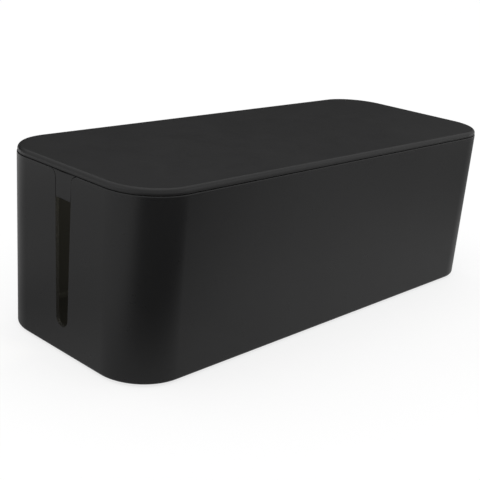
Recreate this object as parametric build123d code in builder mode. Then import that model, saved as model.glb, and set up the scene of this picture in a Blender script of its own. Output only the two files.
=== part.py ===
"""Cable management box: a deep moulded tub with a cable slot in each end, a lift-off lid whose
two tongues fill the tops of those slots, and four rubber feet.

Frame: millimetres, +Z up, +X along the length. The origin is the middle of the footprint, on the
surface that the feet stand on."""

from build123d import *
import os
from math import radians, sqrt, tan

os.makedirs("parts", exist_ok=True)

# ---------------------------------------------------------------- driving dimensions
# Outside of the box
length = 407.0
width = 162.0
height = 137.0  # standing on its feet, with the lid on
corner_radius = 38.0  # upright corners, at the rim
draft_angle = 0.5  # degrees that the tub's walls lean in towards the floor

# Tub
wall = 2.8
floor_thickness = 3.0
base_edge_radius = 2.4  # where the tub's sides turn under
floor_corner_radius = 5.0  # inside, where the walls meet the floor
rim_bevel = 0.5  # outer edge of the rim and of the cable slots
seat_lip_width = 1.3  # raised inner part of the rim, which carries the lid
shadow_gap = 0.4  # open line between the rim and the lid's edge

# Cable slots, one in each end wall, open at the rim
slot_width_top = 17.5
slot_width_bottom = 13.0
slot_bottom_height = 21.5  # lowest point of the slot, above the standing surface
slot_mouth_radius = 6.0  # outward flare where the slot reaches the rim

# Lid
lid_edge_height = 4.2
lid_plate = 2.6
lid_setback = 0.4  # how far the lid's edge lies inside the rim's
lid_top_radius = 3.0
lid_under_chamfer = 0.4
skirt_thickness = 1.8
skirt_depth = 7.0  # below the lid's edge
skirt_clearance = 0.35  # to the tub's inner wall

# Tongues of the lid, each moulded on a backing plate that is a deeper piece of the skirt
tongue_drop = 19.1  # below the lid's edge
tongue_clearance = 0.3  # to the sides of the slot
tongue_recess = 0.2  # behind the lid's edge
tongue_corner_radius = 1.2
shadow_line_depth = 1.0  # groove that carries the shadow gap on across each tongue
backing_margin = 5.0  # how much wider than the slot the backing plate is, on each side
backing_corner_radius = 3.0
gusset_thickness = 1.5
gusset_reach = 9.0  # from the backing plate towards the middle of the lid
gusset_drop = 12.0  # down the backing plate, from the lid's plate
gusset_pitch = 12.0  # between the two gussets of one tongue

# Stiffening ribs under the lid
rib_thickness = 1.4
rib_height = 2.2
long_rib_count = 2
cross_rib_count = 7

# Rubber feet, each seated in a shallow round recess
foot_diameter = 16.0
foot_stand = 1.5  # how far a foot stands below the tub
foot_recess_depth = 1.0
foot_recess_clearance = 0.25  # around the foot
foot_inset = 36.0  # from the rim's outline to a foot's centre, both ways

# ---------------------------------------------------------------- levels and derived sizes
lid_underside = height - lid_edge_height
plate_underside = height - lid_plate
rim_shoulder = lid_underside - shadow_gap
skirt_bottom = lid_underside - skirt_depth
tongue_bottom = lid_underside - tongue_drop
tub_underside = foot_stand
floor_top = tub_underside + floor_thickness

skirt_inset = wall + skirt_clearance
hollow_inset = skirt_inset + skirt_thickness
hollow_length = length - 2 * hollow_inset
hollow_width = width - 2 * hollow_inset
long_rib_pitch = hollow_width / (long_rib_count + 1)
cross_rib_pitch = hollow_length / (cross_rib_count + 1)
backing_width = slot_width_top + 2 * backing_margin
backing_drop = skirt_bottom - tongue_bottom
tongue_root = length / 2 - skirt_inset - skirt_thickness / 2  # inside the backing plate
tongue_face = length / 2 - lid_setback - tongue_recess
foot_pitch_x = length - 2 * foot_inset
foot_pitch_y = width - 2 * foot_inset


def rim_outline(inset, mode=Mode.ADD):
    """The rim's outline in plan, moved inwards all round."""
    sides = length - 2 * inset, width - 2 * inset
    return RectangleRounded(*sides, corner_radius - inset, mode=mode)


def slot_outline(clearance):
    """A cable slot's outline as seen along the box, shrunk all round by a clearance.

    From the rim down: a flared mouth, sides that close in slightly, and a full round bottom."""
    half_top = slot_width_top / 2 - clearance
    half_bottom = slot_width_bottom / 2 - clearance
    flare = slot_mouth_radius + clearance
    flare_end = rim_shoulder - slot_mouth_radius
    mouth_half = half_top + slot_mouth_radius
    mouth_level = flare_end + sqrt(flare**2 - clearance**2)
    round_level = slot_bottom_height + slot_width_bottom / 2
    with BuildLine() as outline:
        Line((0, lid_underside), (mouth_half, lid_underside))
        Line((mouth_half, lid_underside), (mouth_half, mouth_level))
        RadiusArc((mouth_half, mouth_level), (half_top, flare_end), -flare)
        Line((half_top, flare_end), (half_bottom, round_level))
        RadiusArc((half_bottom, round_level), (0, round_level - half_bottom), half_bottom)
        mirror(about=Plane.YZ)
    return make_face(outline.edges())


def looks_outwards(face):
    """Whether a face looks away from the middle of the box, as seen in plan."""
    place, normal = face.center(), face.normal_at()
    return place.X * normal.X + place.Y * normal.Y > 0


# ---------------------------------------------------------------- tub
with BuildPart() as tub:
    # drafted outside, with its bottom edge rounded under
    with BuildSketch(Plane.XY.offset(rim_shoulder)):
        rim_outline(0)
    extrude(amount=tub_underside - rim_shoulder, taper=draft_angle)
    fillet(tub.faces().sort_by(Axis.Z)[0].edges(), base_edge_radius)
    # cavity, with its floor's corners rounded
    with BuildSketch(Plane.XY.offset(rim_shoulder)):
        rim_outline(wall)
    extrude(amount=floor_top - rim_shoulder, taper=draft_angle, mode=Mode.SUBTRACT)
    fillet(tub.edges(Select.LAST).group_by(Axis.Z)[0], floor_corner_radius)
    # cable slots through both end walls
    with BuildSketch(Plane.YZ):
        slot_outline(0)
    extrude(amount=length, both=True, mode=Mode.SUBTRACT)
    # small bevel on the rim's outer edge, which runs on down both sides of each slot
    outside = tub.faces().filter_by(looks_outwards)
    inside = tub.faces() - outside
    outer_edges = outside.edges() & inside.edges()
    chamfer(outer_edges.filter_by_position(Axis.Z, floor_top, height), rim_bevel)
    # raised inner part of the rim, which stops at the mouths of the slots
    with BuildSketch(Plane.XY.offset(rim_shoulder)):
        rim_outline(wall - seat_lip_width)
        rim_outline(wall, Mode.SUBTRACT)
        Rectangle(length, slot_width_top + 2 * slot_mouth_radius, mode=Mode.SUBTRACT)
    extrude(amount=shadow_gap)
    # recesses for the feet
    with BuildSketch(Plane.XY.offset(tub_underside)):
        with GridLocations(foot_pitch_x, foot_pitch_y, 2, 2):
            Circle(foot_diameter / 2 + foot_recess_clearance)
    extrude(amount=foot_recess_depth, mode=Mode.SUBTRACT)
tub.part.label = "tub"
export_step(tub.part, "parts/tub.step")

# ---------------------------------------------------------------- lid
with BuildPart() as lid:
    # plate with its edge all round
    with BuildSketch(Plane.XY.offset(lid_underside)):
        rim_outline(lid_setback)
    extrude(amount=lid_edge_height)
    fillet(lid.faces().sort_by(Axis.Z)[-1].edges(), lid_top_radius)
    chamfer(lid.faces().sort_by(Axis.Z)[0].edges(), lid_under_chamfer)
    with BuildSketch(Plane.XY.offset(lid_underside)):
        rim_outline(hollow_inset)
    extrude(amount=plate_underside - lid_underside, mode=Mode.SUBTRACT)
    # skirt inside the tub's wall, first as deep as the tongues all round
    with BuildSketch(Plane.XY.offset(lid_underside)):
        rim_outline(skirt_inset)
        rim_outline(hollow_inset, Mode.SUBTRACT)
    extrude(amount=tongue_bottom - lid_underside, taper=draft_angle)
    # ... then cut back, which leaves a backing plate for the tongue at each end
    with BuildSketch(Plane.YZ):
        with Locations((0, skirt_bottom)):
            Rectangle(width, tongue_drop, align=(Align.CENTER, Align.MAX))
            Rectangle(backing_width, backing_drop, align=(Align.CENTER, Align.MAX), mode=Mode.SUBTRACT)
    extrude(amount=length, both=True, mode=Mode.SUBTRACT)
    backing_corners = lid.edges().filter_by(Axis.X).group_by(Axis.Z)[0]
    fillet(backing_corners, backing_corner_radius)
    # tongues, which fill the tops of the slots
    for side in (-1, 1):
        with BuildSketch(Plane.YZ.offset(side * tongue_root)) as tongue:
            slot_outline(tongue_clearance)
            with Locations((0, tongue_bottom)):
                Rectangle(width, height, align=(Align.CENTER, Align.MAX), mode=Mode.SUBTRACT)
            fillet(tongue.vertices().group_by(Axis.Y)[0], tongue_corner_radius)
        extrude(amount=side * (tongue_face - tongue_root))
    # groove along the tops of the tongues, level with the shadow gap
    with BuildSketch(Plane.XY.offset(rim_shoulder)):
        rim_outline(0)
        rim_outline(lid_setback + tongue_recess + shadow_line_depth, Mode.SUBTRACT)
    extrude(amount=shadow_gap, mode=Mode.SUBTRACT)
    # gussets between the backing plates and the lid's plate
    for side in (-1, 1):
        for gusset_y in (-gusset_pitch / 2, gusset_pitch / 2):
            corner = side * (hollow_length / 2 + skirt_thickness / 2), plate_underside
            with BuildSketch(Plane.XZ.offset(-gusset_y)):
                with BuildLine():
                    Polyline(
                        corner,
                        (side * (hollow_length / 2 - gusset_reach), plate_underside),
                        (side * hollow_length / 2, plate_underside - gusset_drop),
                        (corner[0], plate_underside - gusset_drop),
                        close=True,
                    )
                make_face()
            extrude(amount=gusset_thickness / 2, both=True)
    # stiffening ribs, spaced evenly over the hollow
    with BuildSketch(Plane.XY.offset(plate_underside)):
        with GridLocations(0, long_rib_pitch, 1, long_rib_count):
            Rectangle(hollow_length + skirt_thickness, rib_thickness)
        with GridLocations(cross_rib_pitch, 0, cross_rib_count, 1):
            Rectangle(rib_thickness, hollow_width + skirt_thickness)
    extrude(amount=-rib_height)
lid.part.label = "lid"
export_step(lid.part, "parts/lid.step")

# ---------------------------------------------------------------- feet
foot_places = {
    "foot_front_left": (-1, -1),
    "foot_front_right": (1, -1),
    "foot_back_left": (-1, 1),
    "foot_back_right": (1, 1),
}
for foot_name, (x_side, y_side) in foot_places.items():
    foot_plane = Plane((x_side * foot_pitch_x / 2, y_side * foot_pitch_y / 2, 0))
    with BuildPart() as foot:
        with BuildSketch(foot_plane):
            Circle(foot_diameter / 2)
        extrude(amount=foot_stand + foot_recess_depth)
    foot.part.label = foot_name
    export_step(foot.part, f"parts/{foot_name}.step")
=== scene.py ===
"""Looks of the cable management box: a moulded tub, its lift-off lid and four rubber feet.

Metres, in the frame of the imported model: +Z up, +X along the length, the origin in the middle of the
footprint. Each moulding is a set of closed surfaces worked out with numpy: columns of points go round
the box's outline, and rows carry the section of the wall from the middle of one flat face, over the
wall, to the middle of the other."""

from math import asin, cos, pi, radians, sin, tan

import bmesh
import bpy
import numpy as np
from mathutils import Matrix, Vector


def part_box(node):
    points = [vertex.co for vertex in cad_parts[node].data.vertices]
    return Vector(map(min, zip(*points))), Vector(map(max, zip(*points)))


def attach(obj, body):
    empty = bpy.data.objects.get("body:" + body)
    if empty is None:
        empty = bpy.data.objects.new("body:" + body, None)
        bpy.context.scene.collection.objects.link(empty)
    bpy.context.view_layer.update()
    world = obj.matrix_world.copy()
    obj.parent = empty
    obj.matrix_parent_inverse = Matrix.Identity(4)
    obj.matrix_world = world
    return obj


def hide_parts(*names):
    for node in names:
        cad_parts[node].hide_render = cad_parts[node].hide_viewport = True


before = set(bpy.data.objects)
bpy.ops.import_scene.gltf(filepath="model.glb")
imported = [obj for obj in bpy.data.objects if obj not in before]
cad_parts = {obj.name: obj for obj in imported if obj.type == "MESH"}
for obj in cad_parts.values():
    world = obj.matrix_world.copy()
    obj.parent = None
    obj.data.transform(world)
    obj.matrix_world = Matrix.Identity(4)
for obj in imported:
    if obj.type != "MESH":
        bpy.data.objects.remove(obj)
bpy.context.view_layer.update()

# ---------------------------------------------------------------- sizes, from the frame
tub_low, tub_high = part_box("tub")
lid_low, lid_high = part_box("lid")
foot_low, foot_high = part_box("foot_front_left")
half_length, half_width = tub_high.x, tub_high.y
height = lid_high.z
tub_underside = tub_low.z
lip_top = tub_high.z  # where the lid's edge rests
tongue_bottom = lid_low.z
lid_setback = half_length - lid_high.x
foot_top = foot_high.z
foot_radius = (foot_high.x - foot_low.x) / 2
foot_places = [(x * abs(foot_low.x + foot_high.x) / 2, y * abs(foot_low.y + foot_high.y) / 2)
               for x in (-1, 1) for y in (-1, 1)]

# ---------------------------------------------------------------- sizes of the mouldings
corner_radius = 0.038
draft = radians(0.5)
wall = 0.0028
floor_top = tub_underside + 0.003
base_edge_radius = 0.0024
floor_corner_radius = 0.005
rim_edge_radius = 0.0007
slot_edge_radius = 0.0002
inner_edge_radius = 0.0003  # edges that the mould's core leaves almost sharp
lip_width = 0.0013
shadow_gap = 0.0004
rim_level = lip_top - shadow_gap

slot_half_top = 0.0175 / 2
slot_half_bottom = 0.013 / 2
slot_bottom = 0.0215
mouth_radius = 0.006
mouth_level = rim_level - mouth_radius
mouth_half = slot_half_top + mouth_radius

lid_plate = 0.0026
lid_top_radius = 0.003
lid_under_radius = 0.0004
skirt_inset = wall + 0.00035
skirt_thickness = 0.0018
skirt_bottom = lip_top - 0.007
hollow_inset = skirt_inset + skirt_thickness
plate_underside = height - lid_plate
backing_half = slot_half_top + 0.005
backing_radius = 0.003

tongue_clearance = 0.0002
tongue_proud = 0.0002  # of the lid's edge, which brings its face level with the wall
tongue_corner_radius = 0.0012
tongue_edge_radius = 0.0003
tongue_root = half_length - skirt_inset - skirt_thickness / 2  # inside the backing plate
tongue_face = half_length - lid_setback + tongue_proud
root_step = 0.0005  # from a tongue's root to its next row
shadow_line_depth = 0.001
neck_below, neck_above = 0.001, 0.0005  # how far the neck runs past the shadow gap
neck_clearance = 0.0003  # to the ends of the lip

gusset_thickness = 0.0015
gusset_reach = 0.009
gusset_drop = 0.012
gusset_pitch = 0.012
rib_thickness = 0.0014
rib_height = 0.0022
rib_height_step = 0.0001  # between the long and the cross ribs
long_ribs = 2
cross_ribs = 7
web_flat = 0.7  # share of a web's thickness between its bevels

foot_edge_radius = 0.0005
recess_depth = 0.001
recess_clearance = 0.00025

# edges rubbed smoother and lightened as a painted highlight, from 0 for none to 1 for those that
# hands rub most
rub_highlight_handled, rub_highlight_outer, rub_highlight_inner, rub_highlight_base = 1, 0.6, 0.5, 0.4

# ---------------------------------------------------------------- fineness of the meshes
corner_steps, side_steps, disc_steps = 40, 10, 96
up_a_wall = (0.02, 0.25, 0.5, 0.75, 0.98)  # shares of the way, dense at both ends
to_the_middle = (0.03, 0.15, 0.5, 1)
merge_distance = 1e-6
sharp_angle = radians(32)


# ---------------------------------------------------------------- meshes
def turns(start, end, count):
    """Angles from start to end, given in degrees, evenly spaced."""
    return np.radians(np.linspace(start, end, count + 1))


class Rows:
    """The rows of a surface, collected in order, with how rubbed each is, the same share that lightens it
    as a painted highlight.
    """

    def __init__(self):
        self.points, self.rubbing_and_highlights = [], []

    def add(self, points, rubbed_highlighted=0):
        """Adds rows of points that are equally rubbed and equally lightened as a painted highlight."""
        self.points.extend(points)
        self.rubbing_and_highlights.extend([rubbed_highlighted] * len(points))

    def surface(self):
        """The rows as one grid, and for each row how rubbed it is, which also sets its painted highlight.
        """
        return np.array(self.points), self.rubbing_and_highlights


def piece(name, surfaces, body, material):
    """One object out of closed surfaces. Each surface is a grid of points (rows, columns, 3) that
    closes on itself across the columns, with a share from 0 to 1 on each row for how rubbed its
    edges are, the same share lightening them as a painted highlight. Rows that shrink to a line or
    a point are merged there, so every surface is watertight."""
    built = bmesh.new()
    for grid, rubbing_and_highlights in surfaces:
        rows, columns = grid.shape[:2]
        here = np.arange(rows * columns).reshape(rows, columns)
        beyond = np.roll(here, -1, axis=1)
        quads = np.stack([here[:-1], beyond[:-1], beyond[1:], here[1:]], axis=-1).reshape(-1, 4)
        mesh = bpy.data.meshes.new(name)
        mesh.from_pydata(grid.reshape(-1, 3), [], quads.tolist())
        # each point's share of rubbed edge, which the material also turns into a painted highlight
        rubbed_highlighted = mesh.attributes.new("edge_rubbing_highlight", "FLOAT", "POINT")
        rubbed_highlighted.data.foreach_set("value", np.repeat(np.asarray(rubbing_and_highlights, np.float32), columns))
        already = len(built.verts)
        built.from_mesh(mesh)
        bpy.data.meshes.remove(mesh)
        built.verts.ensure_lookup_table()
        bmesh.ops.remove_doubles(built, verts=built.verts[already:], dist=merge_distance)
    mesh = bpy.data.meshes.new(name)
    built.to_mesh(mesh)
    built.free()
    mesh.shade_smooth()
    mesh.set_sharp_from_angle(angle=sharp_angle)
    mesh.materials.append(material)
    made = bpy.data.objects.new(name, mesh)
    bpy.context.scene.collection.objects.link(made)
    made.modifiers.new("flat faces stay flat", "WEIGHTED_NORMAL").keep_sharp = True
    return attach(made, body)


# ---------------------------------------------------------------- outline of the box in plan
# where a column's ten numbers stand
IN_PLAN = slice(0, 6)
BASE, NORMAL, ALONG = slice(0, 2), slice(2, 4), slice(4, 6)
LEVEL, LEAN, RISE, RAISED = 6, 7, 8, 9


def ring(edge):
    """Columns round the box, anticlockwise, as rows of numbers: the point of the outline (2), the
    outward normal (2), the direction along an end wall (2), and then the four numbers of edge.

    edge describes the free edge of the wall from the middle of an end outwards, one row for each
    column: its distance from the middle, its level, the direction in the wall's own plane that
    points out of the plastic (lean along the wall, rise upwards), and 1 where the rim has its lip.
    The last row goes on round the corner, a quarter circle, and along half of the long side. The
    other three quarters are this one mirrored."""
    end = np.zeros((len(edge), 10))
    end[:, BASE] = np.column_stack([np.full(len(edge), half_length), edge[:, 0]])
    end[:, NORMAL] = 1, 0
    end[:, ALONG] = 0, 1
    end[:, LEVEL:] = edge[:, 1:]
    turn = turns(0, 90, corner_steps)[:, None]
    corner = np.repeat(end[-1:], len(turn), axis=0)
    centre = np.array([half_length - corner_radius, half_width - corner_radius])
    corner[:, NORMAL] = np.hstack([np.cos(turn), np.sin(turn)])
    corner[:, BASE] = centre + corner_radius * corner[:, NORMAL]
    side = np.repeat(corner[-1:], side_steps, axis=0)
    side[:, 0] = np.linspace(centre[0], 0, side_steps + 1)[1:]
    quarter = np.vstack([end, corner[1:], side])
    whole = []
    for x_sign, y_sign in ((1, 1), (-1, 1), (-1, -1), (1, -1)):
        mirrored = quarter.copy()
        mirrored[:, IN_PLAN] *= np.tile([x_sign, y_sign], 3)
        whole.append(mirrored[::x_sign * y_sign][:-1])
    return np.vstack(whole)


def around(columns, inset, level, slide=0.0):
    """A row of points: each column's point moved in from the outline by inset, at a level, and slid
    along the end wall by its lean times slide."""
    shift = columns[:, ALONG] * np.reshape(columns[:, LEAN] * slide, (-1, 1))
    plan = columns[:, BASE] + shift - columns[:, NORMAL] * np.reshape(inset, (-1, 1))
    return np.column_stack([plan, np.broadcast_to(level, len(plan))])


def spine(columns, level):
    """The line that a flat plate shrinks to: the middle of the box, as long as the box is longer
    than it is wide."""
    reach = half_length - half_width
    return np.column_stack([np.clip(columns[:, 0], -reach, reach), 0 * columns[:, 1],
                            np.full(len(columns), level)])


def between(start, end, shares):
    """Rows spaced between two rows at the given shares of the way."""
    return [start + (end - start) * share for share in shares]


def at_end(grid, x_sign):
    """A surface made for the end at +X, or its mirror image at -X, its faces outwards there too."""
    return (grid * (x_sign, 1, 1))[:, ::x_sign]


# ---------------------------------------------------------------- tub
def leaning(level):
    """How far the drafted outer wall lies inside the rim's outline at a level."""
    return (rim_level - level) * tan(draft)


def slot_edge():
    """The tub's free edge along half an end wall: half of the slot's round bottom, its side, the
    flared mouth, a quarter circle, and the rim with its lip up to the corner."""
    round_level = slot_bottom + slot_half_bottom
    lines = []
    for turn in turns(0, 90, 16):
        lines.append((slot_half_bottom * sin(turn), round_level - slot_half_bottom * cos(turn),
                      -sin(turn), cos(turn), 0))
    for share in np.linspace(0, 1, 9)[1:]:
        lines.append((slot_half_bottom + (slot_half_top - slot_half_bottom) * share,
                      round_level + (mouth_level - round_level) * share, -1, 0, 0))
    for turn in turns(0, 90, 12)[1:]:
        lines.append((mouth_half - mouth_radius * cos(turn), mouth_level + mouth_radius * sin(turn),
                      -cos(turn), sin(turn), 0))
    for across in np.linspace(mouth_half, half_width - corner_radius, 5):
        lines.append((across, rim_level, 0, 1, 1))
    return np.array(lines)


def tub_surface():
    """Rows of the tub from the middle of its underside: out to the base edge, round it, up the
    drafted wall, round the free edge, over the wall's thickness and the raised lip, down inside,
    round the floor's corner and back to the middle of the floor."""
    columns = ring(slot_edge())
    edge_level, rise, raised = columns[:, LEVEL], columns[:, RISE], columns[:, RAISED]
    radius = slot_edge_radius + (rim_edge_radius - slot_edge_radius) * rise.clip(0) ** 2
    radius[edge_level < mouth_level] = slot_edge_radius
    section = Rows()

    # base edge: a circle that touches the underside and the leaning wall
    base_steps = 10
    touch = tub_underside + base_edge_radius * (1 - sin(draft))
    base_centre = leaning(touch) + base_edge_radius * cos(draft)
    base = [around(columns, base_centre - base_edge_radius * cos(turn),
                   tub_underside + base_edge_radius * (1 + sin(turn)), -radius)
            for turn in turns(-90, 0, base_steps) - np.linspace(0, draft, base_steps + 1)]
    section.add(between(spine(columns, tub_underside), base[0], (0, 0.5, 0.85, 0.97)))
    section.add(base, rub_highlight_base)

    # outer wall, then the rounding of its free edge and the wall's thickness
    rounding = []
    for turn in turns(0, 90, 8):
        off = -radius * (1 - sin(turn))
        level = edge_level + rise * off
        rounding.append(around(columns, leaning(level) + radius * (1 - cos(turn)), level, off))
    for share in up_a_wall:
        level = base[-1][:, 2] + (rounding[0][:, 2] - base[-1][:, 2]) * share
        section.add([around(columns, leaning(level), level, -radius)])
    section.add(rounding, rub_highlight_handled)
    inset = leaning(edge_level)
    lip_foot = wall - lip_width
    section.add([around(columns, inset + lip_foot, edge_level)])
    # raised lip: up its outer side and over its outer edge
    for turn in turns(0, 90, 4):
        level = edge_level + raised * (shadow_gap - inner_edge_radius * (1 - sin(turn)))
        depth = inset + lip_foot + inner_edge_radius * (1 - cos(turn))
        section.add([around(columns, depth, level)], rub_highlight_inner)
    # inner edge of the wall, rounded in the plane across the free edge
    top = edge_level + raised * shadow_gap
    for turn in turns(0, 90, 4):
        off = -inner_edge_radius * (1 - cos(turn))
        depth = inset + wall - inner_edge_radius * (1 - sin(turn))
        inner_top = around(columns, depth, top + rise * off, off)
        section.add([inner_top], rub_highlight_inner)

    # inner wall, the floor's corner and the floor
    touch = floor_top + floor_corner_radius * (1 - sin(draft))
    floor_centre = leaning(touch) + wall + floor_corner_radius * cos(draft)
    floor = [around(columns, floor_centre - floor_corner_radius * cos(turn),
                    floor_top + floor_corner_radius * (1 - sin(turn)), -inner_edge_radius)
             for turn in turns(0, 90, 12)]
    for share in up_a_wall:
        level = inner_top[:, 2] + (floor[0][:, 2] - inner_top[:, 2]) * share
        section.add([around(columns, leaning(level) + wall, level, -inner_edge_radius)])
    section.add(floor)
    section.add(between(floor[-1], spine(columns, floor_top), to_the_middle))
    return section.surface()


def disc_surface(place, section):
    """A section of (radius, level) pairs, from the axis out and back to the axis, turned round an
    upright axis through a place. Its edges are not rubbed and get no painted highlight."""
    turn = np.linspace(0, 2 * pi, disc_steps, endpoint=False)
    radius, level = np.array(section).T
    x = place[0] + np.outer(radius, np.cos(turn))
    y = place[1] + np.outer(radius, np.sin(turn))
    z = np.repeat(level[:, None], disc_steps, axis=1)
    return np.stack([x, y, z], axis=-1), [0] * len(section)


def cut_recesses(tub):
    """Cuts the shallow round recesses of the feet out of the tub's underside."""
    radius = foot_radius + recess_clearance
    below, depth = tub_underside - recess_depth, tub_underside + recess_depth
    section = [(0, below), (radius, below), (radius, depth), (0, depth)]
    cutter = piece("recess_cutter", [disc_surface(place, section) for place in foot_places],
                   "tub", tub.data.materials[0])
    cut = tub.modifiers.new("foot recesses", "BOOLEAN")
    cut.operation, cut.solver, cut.object = "DIFFERENCE", "EXACT", cutter
    bpy.context.view_layer.objects.active = tub
    tub.modifiers.move(1, 0)
    bpy.ops.object.modifier_apply(modifier=cut.name)
    bpy.data.objects.remove(cutter)


# ---------------------------------------------------------------- lid
def skirt_edge():
    """The skirt's free edge along half an end wall: the bottom of the tongue's backing plate, its
    rounded corner, its upright side, and the bottom of the skirt up to the corner of the box."""
    turn_level = tongue_bottom + backing_radius
    turn_across = backing_half - backing_radius
    lines = [(across, tongue_bottom, 0, -1, 0) for across in np.linspace(0, turn_across, 5)]
    for turn in turns(0, 90, 10)[1:]:
        lines.append((turn_across + backing_radius * sin(turn), turn_level - backing_radius * cos(turn),
                      sin(turn), -cos(turn), 0))
    lines.append((backing_half, skirt_bottom, 1, -1, 0))
    for across in np.linspace(backing_half, half_width - corner_radius, 5)[1:]:
        lines.append((across, skirt_bottom, 0, -1, 0))
    return np.array(lines)


def lid_surface():
    """Rows of the lid from the middle of the plate's underside: out to the hollow's wall, down the
    skirt's inner face, round its free edge, up its outer face, out under the lid's edge, up the side
    and round the top edge to the middle of the top."""
    columns = ring(skirt_edge())
    edge_level, rise = columns[:, LEVEL], columns[:, RISE]
    section = Rows()

    def tapered(level):
        """How much the skirt has thinned at a level, on each face."""
        return (lip_top - level) * tan(draft)

    def skirt_rows(face, sign, shares, start_level):
        """Rows down a face of the skirt, from a level to where its free edge starts to turn."""
        end_level = edge_level - rise * inner_edge_radius
        made = []
        for share in shares:
            level = start_level + (end_level - start_level) * share
            made.append(around(columns, face + sign * np.maximum(tapered(level), 0), level,
                               -inner_edge_radius))
        return made

    hollow_top = around(columns, hollow_inset, plate_underside, -inner_edge_radius)
    section.add(between(spine(columns, plate_underside), hollow_top, (0, 0.5, 0.85, 0.99, 1)))
    section.add(skirt_rows(hollow_inset, -1, (0.05, 0.5, 0.95, 1), plate_underside))
    # free edge: two quarter circles with the thickness between them
    for face, sign, turned in ((hollow_inset, -1, turns(0, 90, 3)), (skirt_inset, 1, turns(90, 0, 3))):
        for turn in turned:
            off = -inner_edge_radius * (1 - sin(turn))
            level = edge_level + rise * off
            depth = face + sign * (tapered(level) + inner_edge_radius * (1 - cos(turn)))
            section.add([around(columns, depth, level, off)], rub_highlight_inner)
    section.add(skirt_rows(skirt_inset, 1, (1, 0.95, 0.5, 0.05, 0), lip_top))
    # underside of the lid's edge, its small lower rounding, its side and its top rounding
    section.add([around(columns, lid_setback + 2 * lid_under_radius, lip_top)])
    section.add([around(columns, lid_setback + lid_under_radius * (1 - cos(turn)),
                        lip_top + lid_under_radius * (1 + sin(turn))) for turn in turns(-90, 0, 5)],
                rub_highlight_outer)
    side_top = height - lid_top_radius
    section.add([around(columns, lid_setback, level)
                 for level in (lip_top + 1.5 * lid_under_radius, side_top - lid_under_radius)])
    top_edge = [around(columns, lid_setback + lid_top_radius * (1 - cos(turn)),
                       side_top + lid_top_radius * sin(turn)) for turn in turns(0, 90, 12)]
    section.add(top_edge, rub_highlight_handled)
    section.add(between(top_edge[-1], spine(columns, height), to_the_middle))
    return section.surface()


def tongue_outline(shrunk):
    """Half outline of a tongue, as (across, level) pairs from the middle of its top to the middle of
    its bottom, shrunk all round: the flare, which is the part below the tongue's top of a concave
    quarter circle that is wider by what is shrunk, the tapering flank, and a rounded bottom corner."""
    clear = tongue_clearance + shrunk
    flare = mouth_radius + clear
    bottom = tongue_bottom + shrunk
    radius = tongue_corner_radius - shrunk
    top = rim_level - shrunk
    slope = (slot_half_top - slot_half_bottom) / (mouth_level - slot_bottom - slot_half_bottom)
    bottom_half = slot_half_top - clear - slope * (mouth_level - bottom)
    start = asin((top - mouth_level) / flare)
    line = [((mouth_half - flare * cos(start)) * share, top) for share in (0, 0.5)]
    line += [(mouth_half - flare * cos(turn), mouth_level + flare * sin(turn))
             for turn in np.linspace(start, 0, 13)]
    line += [(bottom_half - radius * (1 - cos(turn)), bottom + radius * (1 - sin(turn)))
             for turn in turns(0, 90, 6)]
    line += [(bottom_half * share, bottom) for share in (0.5, 0)]
    return np.array(line)


def tongue_surface(x_sign):
    """A tongue of the lid, as its outline carried outwards from inside the backing plate, with the
    front edge rounded and both ends closed to a line."""

    def loop(place, shrunk):
        """The whole outline at a distance from the middle of the box."""
        half = tongue_outline(shrunk)
        whole = np.vstack([half, half[-2:0:-1] * (-1, 1)])[::-1]
        return np.column_stack([np.full(len(whole), place), whole])

    root = loop(tongue_root, 0)
    middle = root * (1, 0, 1)
    section = Rows()
    section.add([middle, root, loop(tongue_root + root_step, 0)])
    section.add([loop(tongue_face - tongue_edge_radius * (1 - sin(turn)),
                      tongue_edge_radius * (1 - cos(turn))) for turn in turns(0, 90, 4)], rub_highlight_outer)
    section.add([middle * (0, 1, 1) + (tongue_face, 0, 0)])
    grid, rubbing_and_highlights = section.surface()
    return at_end(grid, x_sign), rubbing_and_highlights


def tongue_neck(x_sign):
    """The top of a tongue, set back so that the shadow gap goes on as a groove between the tongue's
    face and the lid's edge."""
    front = tongue_face - shadow_line_depth
    low, high = rim_level - neck_below, lip_top + neck_above
    outline = [(tongue_root, 0, low), (front, 0, low), (front, 0, high), (tongue_root, 0, high)]
    middle = (tongue_root + front) / 2, 0, (low + high) / 2
    grid, rubbing_and_highlights = web_surface(outline, middle, (0, mouth_half - neck_clearance, 0))
    return at_end(grid, x_sign), rubbing_and_highlights


def web_surface(outline, middle, across):
    """A web: a closed outline of points in an upright plane, carried half the thickness, across, to
    each side of the plane, with both ends closed to the outline's middle point. Its edges are broken
    by a small bevel."""
    outline, middle, across = np.array(outline), np.array(middle), np.array(across)
    bevel = inner_edge_radius / np.linalg.norm(outline - middle, axis=1, keepdims=True)
    inner = outline + (middle - outline) * bevel
    closed = np.broadcast_to(middle, outline.shape)
    flat = across * web_flat
    rows = Rows()
    rows.add([closed + across, inner + across, outline + flat])
    rows.add([outline - flat, inner - across, closed - across])
    return rows.surface()


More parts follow.
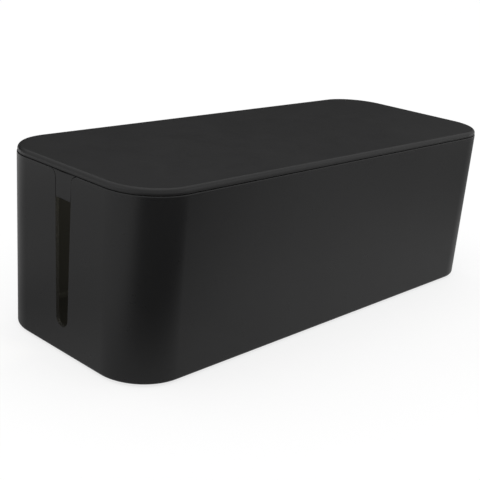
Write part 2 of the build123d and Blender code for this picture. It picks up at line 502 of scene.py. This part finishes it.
def lid_webs():
    """The ribs that stiffen the lid's plate, spaced evenly over the hollow, and the two gussets
    behind each tongue. Each runs a little way into the plastic that it stands on. The cross ribs
    are a hair shallower than the long ones, so that no two faces lie in one plane where they meet."""
    sunk = skirt_thickness / 2
    hollow_x, hollow_y = half_length - hollow_inset, half_width - hollow_inset
    low, high = plate_underside - rib_height, plate_underside + sunk
    level = (low + high) / 2
    webs = []
    x = hollow_x + sunk
    for y in np.linspace(-hollow_y, hollow_y, long_ribs + 2)[1:-1]:
        webs.append(web_surface([(-x, y, low), (x, y, low), (x, y, high), (-x, y, high)],
                                (0, y, level), (0, rib_thickness / 2, 0)))
    low += rib_height_step
    y = hollow_y + sunk
    for x in np.linspace(-hollow_x, hollow_x, cross_ribs + 2)[1:-1]:
        webs.append(web_surface([(x, y, low), (x, -y, low), (x, -y, high), (x, y, high)],
                                (x, 0, level), (rib_thickness / 2, 0, 0)))
    back, tip, drop = hollow_x + sunk, hollow_x - gusset_reach, plate_underside - gusset_drop
    corners = [(tip, plate_underside), (hollow_x, drop), (back, drop), (back, high), (tip, high)]
    for x_sign in (-1, 1):
        for y in (-gusset_pitch / 2, gusset_pitch / 2):
            grid, rubbing_and_highlights = web_surface([(x, y, z) for x, z in corners],
                                     (hollow_x - sunk, y, plate_underside - sunk),
                                     (0, gusset_thickness / 2, 0))
            webs.append((at_end(grid, x_sign), rubbing_and_highlights))
    return webs


# ---------------------------------------------------------------- shader maths
class Wire:
    """A socket of a node tree, on which +, - and * add the Math nodes that they need."""

    def __init__(self, graph, socket):
        self.graph, self.socket = graph, socket

    def __add__(self, other):
        return self.graph.maths("ADD", self, other)

    def __sub__(self, other):
        return self.graph.maths("SUBTRACT", self, other)

    def __rsub__(self, other):
        return self.graph.maths("SUBTRACT", other, self)

    def __mul__(self, other):
        return self.graph.maths("MULTIPLY", self, other)

    __radd__, __rmul__ = __add__, __mul__


class Graph:
    """The node tree of a material or the world."""

    def __init__(self, owner):
        owner.use_nodes = True
        self.owner, self.tree = owner, owner.node_tree
        self.tree.nodes.clear()

    def node(self, kind, settings=None, sockets=None, output=0):
        """Adds a node: its settings first, then the value or link of each socket. Returns an output."""
        made = self.tree.nodes.new(kind)
        for name, value in (settings or {}).items():
            setattr(made, name, value)
        for name, value in (sockets or {}).items():
            if isinstance(value, Wire):
                self.tree.links.new(value.socket, made.inputs[name])
            else:
                made.inputs[name].default_value = value
        return Wire(self, made.outputs[output]) if made.outputs else None

    def maths(self, operation, first, second):
        """What a Math node makes of two wires or numbers."""
        return self.node("ShaderNodeMath", {"operation": operation}, {0: first, 1: second})

    def noise(self, place, size, detail, roughness=0.5):
        """Noise from 0 to 1 whose blotches are about as large as size, in metres."""
        return self.node("ShaderNodeTexNoise", {}, {"Vector": place, "Scale": 1 / size, "Detail": detail,
                                                    "Roughness": roughness}, "Fac")

    def tones(self, colour, darkest, lightest, factor):
        """A colour times darkest where the factor is 0, and times lightest where it is 1."""
        dark, light = ((*[part * tone for part in colour], 1) for tone in (darkest, lightest))
        return self.node("ShaderNodeMix", {"data_type": "RGBA"}, {0: factor, 6: dark, 7: light}, 2)

    def bump(self, heights, depth, strength):
        """A normal for a surface that heights, from 0 to 1, raises by up to depth."""
        return self.node("ShaderNodeBump", {}, {"Strength": strength, "Distance": depth, "Height": heights})

    def finish(self, surface, kind="ShaderNodeOutputMaterial"):
        """Ends the tree with its surface, and returns the material or world that owns it."""
        self.node(kind, {}, {"Surface": surface})
        return self.owner


# ---------------------------------------------------------------- finishes
def moulded_plastic(name, colour, roughness, sheen):
    """Black plastic from a spark-eroded mould: a fine even grain, slow changes of tone and sheen as
    the plastic filled the mould, faint smears of handling, and edges that are rubbed smoother and
    lighter, the lighter colour partly rubbed plastic and partly a painted highlight."""
    graph = Graph(bpy.data.materials.new(name))
    place = graph.node("ShaderNodeTexCoord", output="Object")
    rubbed_highlighted = graph.node("ShaderNodeAttribute", {"attribute_name": "edge_rubbing_highlight"}, output="Fac")
    grain = graph.noise(place, size=0.0005, detail=3, roughness=0.6)
    flow = graph.noise(place, size=0.07, detail=2)
    smears = graph.noise(place, size=0.018, detail=4, roughness=0.65)
    # the edge share lightens the colour: partly rubbed plastic, partly a painted highlight along the
    # roundings
    tone = graph.tones(colour, 0.82, 1.5, flow * 0.5 + grain * 0.3 + rubbed_highlighted * 0.2)
    rough = roughness + (smears - 0.5) * 0.12 + (grain - 0.5) * 0.08 - rubbed_highlighted * 0.05
    bump = graph.bump(grain, depth=0.00004, strength=0.35)
    return graph.finish(graph.node("ShaderNodeBsdfPrincipled", {}, {
        "Base Color": tone, "Roughness": rough, "Specular IOR Level": sheen, "Normal": bump}))


def foot_rubber(name, colour):
    """Dull black rubber with a coarse grain and a little dust on it."""
    graph = Graph(bpy.data.materials.new(name))
    place = graph.node("ShaderNodeTexCoord", output="Object")
    grain = graph.noise(place, size=0.0009, detail=2)
    dust = graph.noise(place, size=0.004, detail=4, roughness=0.7)
    tone = graph.tones(colour, 0.7, 1.6, dust * 0.6 + grain * 0.4)
    bump = graph.bump(grain, depth=0.00008, strength=0.5)
    return graph.finish(graph.node("ShaderNodeBsdfPrincipled", {}, {
        "Base Color": tone, "Roughness": 0.75 + dust * 0.2, "Normal": bump}))


# ---------------------------------------------------------------- stage, light and camera
room_light = 0.75  # the room's strength as light, where its background is 1
paper_tone, paper_glow = 0.35, 0.74
floor_reach = 12.0
# tone of the sheets that paint a dark reflection into the plastic and are seen by nothing else
reflection_shade_tone = 0.01
reflection_dimming = 0.46  # how much the dome of painted reflection shade dims what the plastic reflects
reflection_dome_radius = 4.0
reflection_sheet_level = 0.001  # just above the floor


def sees_background(graph):
    """1 for a ray from the camera, or one off or through a shiny or clear surface; 0 for the rest."""
    camera = graph.node("ShaderNodeLightPath", output="Is Camera Ray")
    glossy, clear = (Wire(graph, camera.socket.node.outputs[name])
                     for name in ("Is Glossy Ray", "Is Transmission Ray"))
    return graph.maths("MAXIMUM", camera, graph.maths("MAXIMUM", glossy, clear))


def stage_sheet(name, corners, faces, shader, cover=None):
    """A sheet of the studio, with its material made by shader(graph). cover is how dense it is at
    each corner, from 0 to 1."""
    mesh = bpy.data.meshes.new(name)
    mesh.from_pydata(corners, [], faces)
    if cover is not None:
        mesh.attributes.new("cover", "FLOAT", "POINT").data.foreach_set("value", cover)
    sheet = bpy.data.objects.new(name, mesh)
    bpy.context.scene.collection.objects.link(sheet)
    graph = Graph(bpy.data.materials.new(name))
    mesh.materials.append(graph.finish(shader(graph)))
    return sheet


def white_paper(graph):
    """White to whatever sees the background, but for the box's soft shadow."""
    paper = graph.node("ShaderNodeBsdfDiffuse", {}, {"Color": (*[paper_tone] * 3, 1)})
    glow = graph.node("ShaderNodeEmission", {}, {"Color": (1, 1, 1, 1),
                                                 "Strength": sees_background(graph) * paper_glow})
    return graph.node("ShaderNodeAddShader", {}, {0: paper, 1: glow})


def reflection_shade_surface(graph):
    """Painted reflection shade: almost no light back where it is dense, and clear where it isn't."""
    clear = graph.node("ShaderNodeBsdfTransparent")
    black = graph.node("ShaderNodeBsdfDiffuse", {}, {"Color": (*[reflection_shade_tone] * 3, 1)})
    cover = graph.node("ShaderNodeAttribute", {"attribute_name": "cover"}, output="Fac")
    return graph.node("ShaderNodeMixShader", {}, {0: cover, 1: clear, 2: black})


def reflection_shade_sheet(name, grid, dark):
    """A sheet with soft edges that gives the plastic a painted dark reflection and nothing else: the
    camera, scattered light and shadows pass it by. A grid of points (rows, columns, 3), and how
    dark it is at each, from 0 for the dome's even grey to 1 for black."""
    rows, columns = dark.shape
    here = np.arange(rows * columns).reshape(rows, columns)
    quads = np.stack([here[:-1, :-1], here[:-1, 1:], here[1:, 1:], here[1:, :-1]], axis=-1)
    cover = 1 - (1 - dark) * (1 - reflection_dimming)
    shade_sheet_object = stage_sheet(name, grid.reshape(-1, 3), quads.reshape(-1, 4).tolist(), reflection_shade_surface, cover.ravel())
    # painted dark reflection: the sheet shows only in reflections, and neither lights nor shades anything
    shade_sheet_object.visible_camera = shade_sheet_object.visible_diffuse = shade_sheet_object.visible_transmission = shade_sheet_object.visible_shadow = False


def soft_step(past):
    """An S-shaped step from 0 to 1."""
    return 1 / (1 + np.exp(-past))


def floor_reflection_wedge(tip, sides, side_fade, reach, reach_fade, spots):
    """A painted dark reflection: a wedge lying on the floor, which only the plastic's reflections see,
    from a tip near the box's corner out to a reach. Its two sides run in the given directions, in
    degrees, and everything fades softly into grey. Each spot, a bell curve with a middle, a radius
    and a density, darkens the floor's reflection beside it. The sheet has a point every two
    centimetres."""
    x, y = np.meshgrid(np.linspace(-1.4, 1.4, 141), np.linspace(-1.5, 1.1, 131))
    right, left = np.radians(sides)
    past_left = (x - tip[0]) * -sin(left) + (y - tip[1]) * cos(left)
    past_right = (x - tip[0]) * sin(right) - (y - tip[1]) * cos(right)
    clear = 1 - (soft_step(past_left / side_fade) * soft_step(past_right / side_fade)
                 * soft_step((reach - np.hypot(x - tip[0], y - tip[1])) / reach_fade))
    for middle, radius, dense in spots:
        clear *= 1 - dense * np.exp(-((x - middle[0]) ** 2 + (y - middle[1]) ** 2) / radius ** 2)
    reflection_shade_sheet("floor_reflection_shade", np.stack([x, y, np.full(x.shape, reflection_sheet_level)], axis=-1), 1 - clear)


def reflection_shade_dome(middle, half_angle, side_fade, top, top_fade):
    """A round grey dome over the box that only the plastic's reflections see, a painted reflection
    shade that dims all it reflects, with a dark part behind the box. Angles are in degrees, as seen
    from the box, and the dark part fades out over both sides and its top."""
    azimuth, elevation = np.meshgrid(np.linspace(middle - 180, middle + 180, 181),
                                     np.linspace(0, 89, 90))
    dark = soft_step((half_angle - np.abs(azimuth - middle)) / side_fade)
    dark *= soft_step((top - elevation) / top_fade)
    azimuth, elevation = np.radians(azimuth), np.radians(elevation)
    sphere = np.stack([np.cos(azimuth) * np.cos(elevation), np.sin(azimuth) * np.cos(elevation),
                       np.sin(elevation)], axis=-1)
    reflection_shade_sheet("reflection_shade_dome", reflection_dome_radius * sphere, dark)


def light_world():
    """An even white room: full white as a background, a little dimmer as light."""
    world = bpy.data.worlds.new("studio")
    bpy.context.scene.world = world
    graph = Graph(world)
    strength = sees_background(graph) * (1 - room_light) + room_light
    room = graph.node("ShaderNodeBackground", {}, {"Color": (1, 1, 1, 1), "Strength": strength})
    graph.finish(room, "ShaderNodeOutputWorld")


def softbox(name, place, aim, size, power, colour=(1, 1, 1)):
    """A soft lamp at a place, aimed at a point."""
    lamp = bpy.data.lights.new(name, "AREA")
    lamp.shape, lamp.size, lamp.size_y, lamp.energy = "RECTANGLE", size[0], size[1], power
    lamp.color = colour
    made = bpy.data.objects.new(name, lamp)
    made.location = place
    made.rotation_euler = (Vector(aim) - Vector(place)).to_track_quat("-Z", "Y").to_euler()
    made.visible_camera = False
    bpy.context.scene.collection.objects.link(made)
    return made


def place_camera():
    """The camera stands before the near corner, a little above the box, and is slightly tilted."""
    azimuth, elevation, roll = radians(-47.23), radians(18.92), radians(4.73)
    distance, target = 0.76376, Vector((-0.02837, 0, 0.05169))
    focal_pixels, picture_pixels = 941.8, 480
    back = Vector((sin(azimuth) * cos(elevation), -cos(azimuth) * cos(elevation), sin(elevation)))
    camera = bpy.data.objects.new("camera", bpy.data.cameras.new("camera"))
    camera.data.sensor_width = 36
    camera.data.lens = camera.data.sensor_width * focal_pixels / picture_pixels
    right = Vector((cos(azimuth), sin(azimuth), 0))
    up = back.cross(right)
    turned_right = cos(roll) * right + sin(roll) * up
    turned_up = back.cross(turned_right)
    axes = Matrix((turned_right, turned_up, back)).transposed()
    camera.matrix_world = Matrix.Translation(target + back * distance) @ axes.to_4x4()
    bpy.context.scene.collection.objects.link(camera)
    bpy.context.scene.camera = camera


# ---------------------------------------------------------------- build
plastic_colour = (0.014, 0.014, 0.0143)
tub_plastic = moulded_plastic("moulded_tub_plastic", plastic_colour, roughness=0.3, sheen=0.4)
lid_plastic = moulded_plastic("moulded_lid_plastic", plastic_colour, roughness=0.38, sheen=0.4)
rubber = foot_rubber("moulded_foot_rubber", (0.010, 0.010, 0.010))

tub = piece("tub_moulding", [tub_surface()], "tub", tub_plastic)
cut_recesses(tub)
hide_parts("tub")

lid_surfaces = [lid_surface()] + lid_webs()
lid_surfaces += [make(side) for make in (tongue_surface, tongue_neck) for side in (-1, 1)]
lid = piece("lid_moulding", lid_surfaces, "lid", lid_plastic)
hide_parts("lid")

foot_section = [(0, 0)]
foot_section += [(foot_radius - foot_edge_radius * (1 - sin(turn)), foot_edge_radius * (1 - cos(turn)))
                 for turn in turns(0, 90, 6)]
foot_section += [(foot_radius, foot_top), (0, foot_top)]
for x_name in ("left", "right"):
    for y_name in ("front", "back"):
        node = f"foot_{y_name}_{x_name}"
        low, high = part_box(node)
        disc = disc_surface(((low.x + high.x) / 2, (low.y + high.y) / 2), foot_section)
        foot = piece(f"rubber_{node}", [disc], "tub", rubber)
        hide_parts(node)

floor_corners = [(x * floor_reach, y * floor_reach, 0) for x, y in ((-1, -1), (1, -1), (1, 1), (-1, 1))]
stage_sheet("floor", floor_corners, [(0, 1, 2, 3)], white_paper)
# painted reflection shade, seen only in the plastic's reflections: a dark wedge on the floor and a grey
# dome with a darker part
floor_reflection_wedge(tip=(-0.285, -0.06), sides=(325, 216), side_fade=0.025, reach=0.9, reach_fade=0.12,
              spots=[((-0.32, 0.32), 0.2, 0.5), ((-0.23, 0.09), 0.1, 0.5), ((0.7, -0.2), 0.45, 0.65)])
reflection_shade_dome(middle=63, half_angle=51, side_fade=6.4, top=29, top_fade=2.5)
light_world()
softbox("left_softbox", place=(-1.2, 0.3, 0.9), aim=(0, 0, 0.05), size=(0.9, 0.7), power=0.6)
softbox("right_softbox", place=(0.9, -1.1, 0.9), aim=(0, 0, 0.05), size=(0.9, 0.7), power=0.6)
softbox("top_softbox", place=(0, 0.1, 1.4), aim=(0, 0, 0.1), size=(1.2, 0.9), power=1.2)
inside = softbox("inside_softbox", place=(-0.08, -0.05, 0.1), aim=(-0.1, 0.08, 0.06), size=(0.2, 0.06),
                 power=0.25, colour=(1, 0.95, 0.74))
inside.visible_glossy = False
place_camera()
bpy.context.scene.view_settings.view_transform = "Standard"
